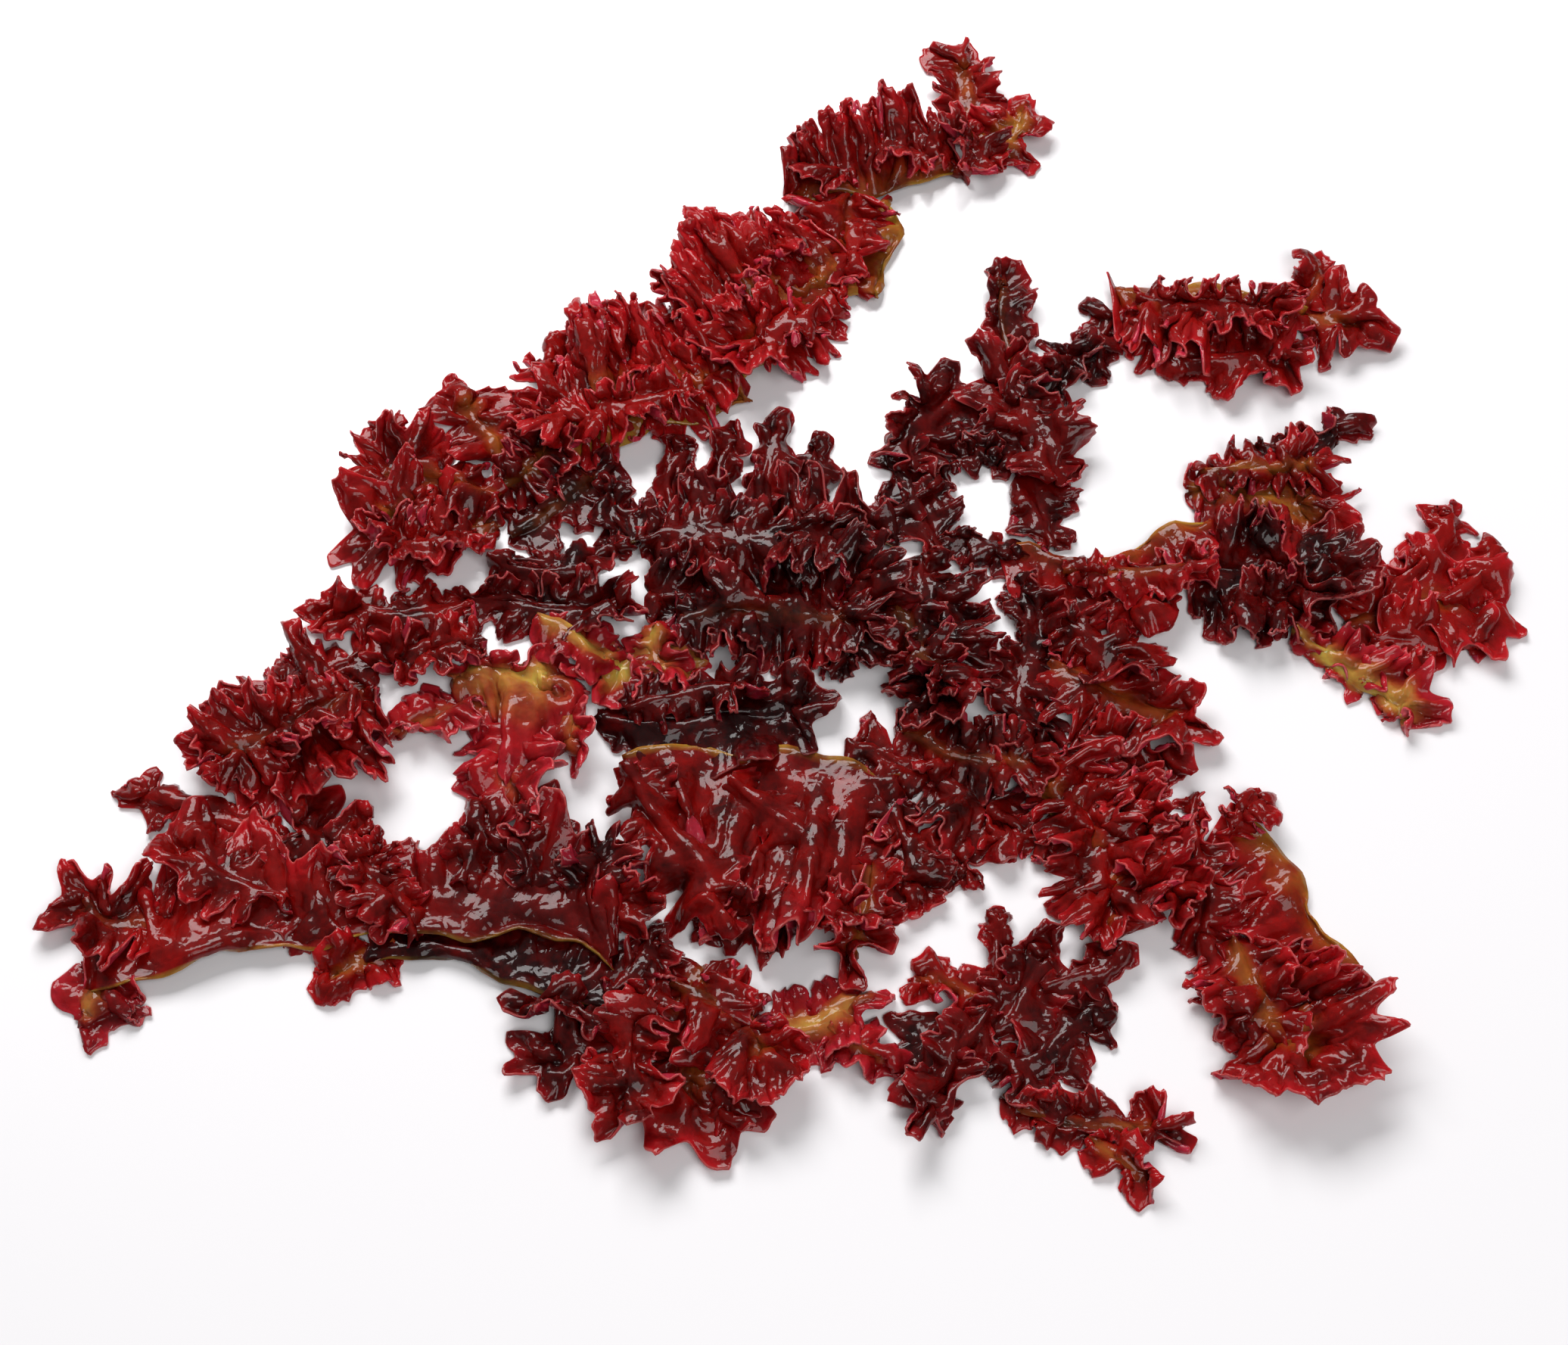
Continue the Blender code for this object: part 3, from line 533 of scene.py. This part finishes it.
def outward(spots, faces):
    """Which way a sheet faces at each of its spots."""
    corners = [spots[faces[:, k]] for k in range(3)]
    face_ways = np.cross(corners[1] - corners[0], corners[2] - corners[0])
    ways = np.zeros_like(spots)
    for k in range(3):
        for axis in range(3):
            ways[:, axis] += np.bincount(faces[:, k], face_ways[:, axis], len(spots))
    return ways / (np.linalg.norm(ways, axis=1)[:, None] + 1e-9)


def stage_of_growth(sheets, step, grown, coarse=None, fold=None):
    """All sheets at one fineness: their spots, triangles and the threads between spots with their lengths."""
    found = {key: [] for key in ("t", "f", "spots", "number", "faces", "reach", "share")}
    spans, total = [], 0
    for number, sheet in enumerate(sheets):
        t, f, levels, faces = sheet.rows(step, grown)
        plan, reach, share, way = sheet.lay(t, f)
        if coarse is None:
            spots = sheet.first_folds(t, plan, reach, way, levels, grown)
        else:
            spots = carry_over(coarse, number, t, f)
            swing = sheet.wave(sheet.habit[fold], weak=0.5, strong=1.3)
            ripple = swing(t) * f**1.5 * RIPPLE * sheet.habit[fold]
            spots += outward(spots, faces) * ripple[:, None]
        for key, value in zip(found, (t, f, spots, np.full(len(t), number), faces + total, reach, share)):
            found[key].append(value)
        spans.append((total, levels))
        total += len(t)
    stage = {key: np.concatenate(value) for key, value in found.items()}
    stage["spans"] = spans
    faces = stage["faces"]
    pairs = np.sort(np.vstack([faces[:, [0, 1]], faces[:, [1, 2]], faces[:, [2, 0]]]), axis=1)
    keys = np.unique(pairs[:, 0] * total + pairs[:, 1])
    a, b = keys // total, keys % total
    which = stage["number"][a]
    walk = np.array([sheet.walk for sheet in sheets])[which]
    turn = np.array([sheet.turn for sheet in sheets])[which]
    habit = {key: np.array([sheet.habit[key] for sheet in sheets])[which]
             for key in ("growth", "onset", "stiff", "early")}
    t, f, share = stage["t"], stage["f"], stage["share"]
    run = np.abs(t[a] - t[b])
    middle = (f[a] + f[b]) / 2
    grows = np.clip((share[a] + share[b]) / 2, 0, 1)
    stage["a"], stage["b"], stage["stiff"], stage["early"] = a, b, habit["stiff"], habit["early"]
    stage["young_run"] = run * (walk + turn * middle)
    stage["new_run"] = run * walk * (habit["growth"] - 1) * grows ** habit["onset"]
    stage["across"] = stage["reach"][a] - stage["reach"][b]
    return stage


def cell_key(x, y, z):
    """One whole number for a cell of a grid, with room for 14 bits each way."""
    return (x << 28) + (y << 14) + z


def push_apart(spots, reach):
    """Moves that part spots which have come closer than this."""
    middle_cell = 4096  # keeps the cells' numbers above zero
    cell = np.floor(spots / reach).astype(np.int64) + middle_cell
    key = cell_key(cell[:, 0], cell[:, 1], cell[:, 2])
    order = np.argsort(key, kind="stable")
    ranked = key[order]
    everyone = np.arange(len(spots))
    push = np.zeros_like(spots)
    near_cells = [cell_key(x, y, z) for x in (-1, 0, 1) for y in (-1, 0, 1) for z in (-1, 0, 1)]
    for offset in near_cells:
        at = np.searchsorted(ranked, key + offset)
        for more in (0, 1):
            place = np.minimum(at + more, len(spots) - 1)
            mate = order[place]
            here = np.nonzero((ranked[place] == key + offset) & (mate != everyone))[0]
            apart = spots[here] - spots[mate[here]]
            far = np.sqrt((apart**2).sum(1)) + 1e-6
            close = far < reach
            push[here[close]] += apart[close] * (0.25 * (reach - far[close]) / far[close])[:, None]
    return np.clip(push, -0.4 * reach, 0.4 * reach)


def grow(stage, grown_from, grown_to, steps, bend, apart=0.0, apart_every=5):
    """Lets the sheets reach their lengths step by step: threads pull, bends ease, the table holds them up."""
    a, b, spots, f = stage["a"], stage["b"], stage["spots"], stage["f"]
    many = len(spots)
    threads = (np.bincount(a, minlength=many) + np.bincount(b, minlength=many)).astype(float)[:, None]
    hold = np.clip(1 - f / BASE_BAND, 0, 1)[:, None] * BASE_HOLD
    home = spots.copy()
    home[:, 2] = np.maximum(home[:, 2], LOWEST_BASE)
    roof = ROOF + ROOF_SWELL * np.sin(home[:, 0] * 0.43) * np.sin(home[:, 1] * 0.39)
    before = spots.copy()
    for step in range(steps):
        grown = grown_from + (grown_to - grown_from) * min(1.0, step / (ARRIVAL * steps))
        run = stage["young_run"] + grown ** stage["early"] * stage["new_run"]
        length = np.sqrt(run**2 + stage["across"] ** 2)
        thread = spots[b] - spots[a]
        far = np.sqrt((thread * thread).sum(1)) + 1e-9
        pull = thread * (PULL * (1 - length / far) + bend * stage["stiff"])[:, None]
        ends = [np.bincount(a, pull[:, k], many) - np.bincount(b, pull[:, k], many) for k in range(3)]
        drift = np.clip(MOMENTUM * (spots - before), -LONGEST_DRIFT, LONGEST_DRIFT)
        before = spots
        spots = spots + np.stack(ends, 1) / threads + drift
        spots[:, 2] -= SINKING * f
        if apart and step % apart_every == 0:
            spots = spots + push_apart(spots, apart)
        spots = spots + (home - spots) * hold
        spots[:, 2] -= PRESSING * np.maximum(spots[:, 2] - roof, 0)
        spots[:, 2] = np.maximum(spots[:, 2], LOWEST_MIDDLE)
    stage["spots"] = spots
    return stage


def grown_sheets(sheets):
    """The sheets grown in three stages: wide folds, then frills on them, then the finest frills."""
    stage = None
    for size, fold, growth in STAGES:
        stage = stage_of_growth(sheets, size, growth["grown_to"], stage, fold)
        stage = grow(stage, **growth)
    return stage


def linear(colour):
    """An sRGB hex colour as linear values with alpha."""
    values = [int(colour[k : k + 2], 16) / 255 for k in (0, 2, 4)]
    return (*[c / 12.92 if c <= 0.04045 else ((c + 0.055) / 1.055) ** 2.4 for c in values], 1.0)


def add(tree, kind, inputs=None, **settings):
    """One node with its settings, its inputs set to values or linked to sockets."""
    made = tree.nodes.new(kind)
    for name, value in settings.items():
        setattr(made, name, value)
    for name, value in (inputs or {}).items():
        if isinstance(value, bpy.types.NodeSocket):
            tree.links.new(value, made.inputs[name])
        else:
            made.inputs[name].default_value = value
    return made


def joined(tree, start, operation, ranges):
    """A value with others added to it or multiplied with it, each moved from one range to another first."""
    for limits in ranges:
        part = add(tree, "ShaderNodeMapRange", dict(zip(RANGE, limits))).outputs[0]
        start = add(tree, "ShaderNodeMath", {0: part, 1: start}, operation=operation).outputs[0]
    return start


def wet_blade(name, deep, flesh, lit, base, back):
    """Wet tissue, by its colours: darkest, its own dark tone and painted shade of thick layers; as flesh;
    at the thin margin, a painted glow of light through the tissue; at the base; on the underside.
    """
    material = bpy.data.materials.new(name)
    material.use_nodes = True
    tree = material.node_tree
    tree.nodes.clear()
    place = add(tree, "ShaderNodeTexCoord").outputs["Object"]
    across, tone, amber, underside = (
        add(tree, "ShaderNodeAttribute", attribute_name=known).outputs["Fac"]
        for known in ("across", "tone", "amber", "underside"))
    blotches, flecks, crinkles = (
        add(tree, "ShaderNodeTexNoise", {"Vector": place, "Scale": scale, "Detail": detail}).outputs["Fac"]
        for scale, detail in ((1 / (BLOTCH * MM), 3.0), (1 / (FLECK * MM), 2.0), (1 / (CRINKLE * MM), 3.0)))
    veins = add(tree, "ShaderNodeTexVoronoi", {"Vector": place, "Scale": 1 / (VEIN_GAP * MM)},
                feature="DISTANCE_TO_EDGE").outputs["Distance"]
    # shade mixes the sheet's tone with random blotches and flecks; its low end, towards the deep colour, is
    # partly painted shade
    shade = joined(tree, tone, "ADD", ((blotches, 0.3, 0.7, -0.4, 0.35), (flecks, 0.3, 0.7, -0.12, 0.12)))

    # Each tint lies over the last one, as strongly as the product of these values in their new ranges.
    tints = (
        (flesh, [(shade, 0.0, 0.9, 0.0, 1.0)]),
        # lit: painted glow, the thin margin lighter as if light passed through the tissue
        (lit, [(across, 0.72, 1.0, 0.0, 1.0), (shade, 0.1, 0.9, 0.15, 0.8)]),
        (back, [(underside, 0.0, 1.0, 0.0, 1.0), (across, 0.3, 0.75, 0.0, 1.0),
                (shade, 0.0, 1.0, 0.25, 0.9)]),
        (base, [(amber, 0.0, 1.0, 0.0, 1.0), (blotches, 0.38, 0.6, 0.2, 1.0)]),
        (RIM_COLOUR, [(across, 0.975, 0.99, 0.0, 0.32)]),
    )
    colour = linear(deep)
    for tint, ranges in tints:
        cover = joined(tree, 1.0, "MULTIPLY", ranges)
        tinted = add(tree, "ShaderNodeMix", {0: cover, 6: colour, 7: linear(tint)}, data_type="RGBA")
        colour = tinted.outputs[2]
    relief = joined(tree, 0.0, "ADD", ((veins, 0.0, 0.25, 0.0, 1.0), (crinkles, 0.0, 1.0, 0.0, 0.8)))
    bump = add(tree, "ShaderNodeBump", {"Height": relief, "Strength": 0.4, "Distance": 0.15 * MM}).outputs[0]
    shader = add(tree, "ShaderNodeBsdfPrincipled", {
        "Base Color": colour, "Normal": bump, "Coat Normal": bump,
        "Roughness": 0.5, "Specular IOR Level": 0.05,
        "Subsurface Weight": 0.5, "Subsurface Radius": (1.0, 0.14, 0.1), "Subsurface Scale": 1.0 * MM,
        "Coat Weight": 0.7, "Coat Roughness": 0.06, "Coat IOR": 1.38,
    })
    output = add(tree, "ShaderNodeOutputMaterial")
    tree.links.new(shader.outputs[0], output.inputs["Surface"])
    return material


def blistering():
    """Geometry nodes that raise low blisters between the veins and give the sheet its material."""
    tree = bpy.data.node_groups.new("blisters", "GeometryNodeTree")
    sockets = {}
    for name, kind in (("Geometry", "Geometry"), ("Blister height", "Float"), ("Blister size", "Float"),
                       ("Finish", "Material")):
        made = tree.interface.new_socket(name, in_out="INPUT", socket_type="NodeSocket" + kind)
        sockets[name] = made.identifier
    tree.interface.new_socket("Geometry", in_out="OUTPUT", socket_type="NodeSocketGeometry")
    given = add(tree, "NodeGroupInput").outputs
    place = add(tree, "GeometryNodeInputPosition").outputs[0]
    scale = add(tree, "ShaderNodeMath", {0: 1.0, 1: given["Blister size"]}, operation="DIVIDE").outputs[0]
    cells = add(tree, "ShaderNodeTexVoronoi", {"Vector": place, "Scale": scale, "Smoothness": 0.6},
                feature="SMOOTH_F1").outputs["Distance"]
    limits = (cells, 0.1, 0.75, 1.0, 0.0)
    dome = add(tree, "ShaderNodeMapRange", dict(zip(RANGE, limits)), interpolation_type="SMOOTHSTEP")
    across = add(tree, "GeometryNodeInputNamedAttribute", {"Name": "across"}, data_type="FLOAT").outputs[0]
    share = joined(tree, dome.outputs[0], "MULTIPLY", [(across, 0.75, 1.0, 1.0, 0.0)])
    height = add(tree, "ShaderNodeMath", {0: share, 1: given["Blister height"]}, operation="MULTIPLY")
    normal = add(tree, "GeometryNodeInputNormal").outputs[0]
    offset = add(tree, "ShaderNodeVectorMath", {0: normal}, operation="SCALE")
    tree.links.new(height.outputs[0], offset.inputs["Scale"])
    raised = add(tree, "GeometryNodeSetPosition",
                 {"Geometry": given["Geometry"], "Offset": offset.outputs[0]}).outputs[0]
    real = add(tree, "GeometryNodeRealizeInstances", {"Geometry": raised}).outputs[0]
    finished = add(tree, "GeometryNodeSetMaterial", {"Geometry": real, "Material": given["Finish"]})
    add(tree, "NodeGroupOutput", {"Geometry": finished.outputs[0]})
    return tree, sockets


def frond_mesh(name, stage, numbers, sheets):
    """The grown sheets of one frond as a mesh, with what its finish needs to know at each spot."""
    spots, faces, total = [], [], 0
    values = {"across": [], "tone": [], "amber": []}
    for number in numbers:
        start, (levels, starts, counts) = stage["spans"][number]
        many = starts[-1] + counts[-1]
        mine = slice(start, start + many)
        inside = (stage["faces"][:, 0] >= start) & (stage["faces"][:, 0] < start + many)
        place = stage["spots"][mine].copy()
        if sheets[number].two_sided:
            place[: counts[0]] = (place[: counts[0]] + place[: counts[0]][::-1]) / 2
        spots.append(place)
        faces.append(stage["faces"][inside] - start + total)
        sheet, f = sheets[number], stage["f"][mine]
        values["across"].append(f)
        values["tone"].append(np.full(many, sheet.tone))
        amber = sheet.amber * np.clip(1.1 - f / (0.2 + 0.4 * sheet.amber), 0, 1)
        if not sheet.two_sided:
            amber = np.maximum(amber, np.clip(1 - f / CUT_EDGE, 0, 1))
        values["amber"].append(amber)
        total += many
    place = np.vstack(spots)
    place[:, :2] -= LAYOUT_CENTRE
    mesh = bpy.data.meshes.new(name)
    mesh.from_pydata((place * MM).tolist(), [], np.vstack(faces).tolist())
    for key, value in values.items():
        known = mesh.attributes.new(key, "FLOAT", "POINT")
        known.data.foreach_set("value", np.concatenate(value).astype(np.float32))
    seam = bmesh.new()
    seam.from_mesh(mesh)
    bmesh.ops.remove_doubles(seam, verts=seam.verts, dist=WELD * MM)
    seam.to_mesh(mesh)
    seam.free()
    mesh.shade_smooth()
    return mesh


def make_frond(name, mesh, blister, finish, nodes, sockets):
    """The frond's object: blistered, given its thickness, and made one plain mesh."""
    frond = bpy.data.objects.new(name, mesh)
    bpy.context.scene.collection.objects.link(frond)
    blisters = frond.modifiers.new("blisters", "NODES")
    blisters.node_group = nodes
    blisters[sockets["Blister size"]], blisters[sockets["Blister height"]] = blister[0] * MM, blister[1] * MM
    blisters[sockets["Finish"]] = finish
    thickness = frond.modifiers.new("thickness", "SOLIDIFY")
    thickness.thickness = SHEET_THICKNESS * MM
    thickness.offset = 0.0
    depsgraph = bpy.context.evaluated_depsgraph_get()
    plain = bpy.data.meshes.new_from_object(frond.evaluated_get(depsgraph), depsgraph=depsgraph)
    frond.modifiers.clear()
    many = len(plain.vertices)
    underside = (np.arange(many) >= many // 2).astype(np.float32)  # Solidify adds that side's spots last
    plain.attributes.new("underside", "FLOAT", "POINT").data.foreach_set("value", underside)
    places = np.zeros(many * 3, np.float32)
    plain.vertices.foreach_get("co", places)
    places[2::3] = np.maximum(places[2::3], LOWEST * MM)
    plain.vertices.foreach_set("co", places)
    frond.data = plain
    plain.name = name
    return frond


def make_floor():
    """A plain white glazed table top, far larger than the view: soft reflections close to the fronds."""
    mesh = bpy.data.meshes.new("table_top")
    far = 3.0  # half its width, in metres
    mesh.from_pydata([(-far, -far, 0), (far, -far, 0), (far, far, 0), (-far, far, 0)], [], [(0, 1, 2, 3)])
    floor = bpy.data.objects.new("table_top", mesh)
    bpy.context.scene.collection.objects.link(floor)
    material = bpy.data.materials.new("white glazed table top")
    material.use_nodes = True
    shader = material.node_tree.nodes["Principled BSDF"]
    shader.inputs["Base Color"].default_value = linear("F1EFF1")
    shader.inputs["Roughness"].default_value = 0.22
    mesh.materials.append(material)


def look_from(place, target):
    """The turn that points an object's own -Z from its place to a target."""
    return (Vector(target) - Vector(place)).to_track_quat("-Z", "Y").to_euler()


def make_camera():
    """The photograph's view: from the front, 62 degrees up, through a lens of normal length."""
    lens = bpy.data.cameras.new("view")
    lens.lens = LENS
    lens.sensor_width = SENSOR
    camera = bpy.data.objects.new("view", lens)
    target = Vector((VIEW_CENTRE[0] - LAYOUT_CENTRE[0], VIEW_CENTRE[1] - LAYOUT_CENTRE[1], 0)) * MM
    away = Vector((0, -math.cos(VIEW_ELEVATION), math.sin(VIEW_ELEVATION)))
    camera.location = target + away * VIEW_DISTANCE * MM
    camera.rotation_euler = look_from(camera.location, target)
    bpy.context.scene.collection.objects.link(camera)
    bpy.context.scene.camera = camera


def make_light():
    """Soft studio light: a large window-like lamp behind, a weaker one in front, and a dim white room."""
    lamps = (
        ("window", (-0.25, 0.7, 0.8), 0.8, 0.5, 13.0),
        ("front", (0.3, -0.5, 0.95), 0.7, 0.6, 6.0),
    )  # place, width and height in metres, and power in watts
    for name, place, wide, high, power in lamps:
        lamp = bpy.data.lights.new(name, "AREA")
        lamp.shape = "RECTANGLE"
        lamp.size, lamp.size_y, lamp.energy = wide, high, power
        light = bpy.data.objects.new(name, lamp)
        light.location = place
        light.rotation_euler = look_from(place, (0, 0, 0))
        bpy.context.scene.collection.objects.link(light)
    world = bpy.data.worlds.new("room")
    bpy.context.scene.world = world
    world.use_nodes = True
    world.node_tree.nodes["Background"].inputs["Color"].default_value = linear("FFFFFF")
    world.node_tree.nodes["Background"].inputs["Strength"].default_value = 0.14
    bpy.context.scene.view_settings.view_transform = "Standard"


def main():
    finishes = {
        # Fresh grown blade, red over a paler underside: saturated red in the light, pink where it curls over.
        "wine_frond": wet_blade("wet wine red blade", "300201", "840907", "B4121C", "A8822E", "BE3048"),
        # Painted shade: the same blade coloured as it looks where it lies in layers, nearly black in its
        # depths,
        #         # with a painted glow of red only at the thin margin.
        "dark_frond": wet_blade("wet maroon blade in painted shade", "200101", "680504", "A00E18", "7A5A20", "98182E"),
        # Blade that has lost its red towards its cut base: it glows amber and olive there, and pink beyond.
        "amber_frond": wet_blade("wet amber blade", "4A0605", "981016", "BC2434", "B89A42", "C85A62"),
    }
    slots = {part["node"]: part["material_slot"] for part in frame["record"]["subparts"]}
    sheets, numbers = [], {}
    for name, layers in SHEETS.items():
        numbers[name] = range(len(sheets), len(sheets) + len(layers))
        for layer in layers:
            sheets.append(Sheet(*layer, seed=len(sheets) + FIRST_SEED))
    stage = grown_sheets(sheets)
    nodes, sockets = blistering()
    for name in SHEETS:
        mesh = frond_mesh(name, stage, numbers[name], sheets)
        blister = sheets[numbers[name][0]].habit["blister"]
        frond = make_frond("grown_" + name, mesh, blister, finishes[slots[name]], nodes, sockets)
        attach(frond, "root")
        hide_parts(name)
    make_floor()
    make_camera()
    make_light()


main()
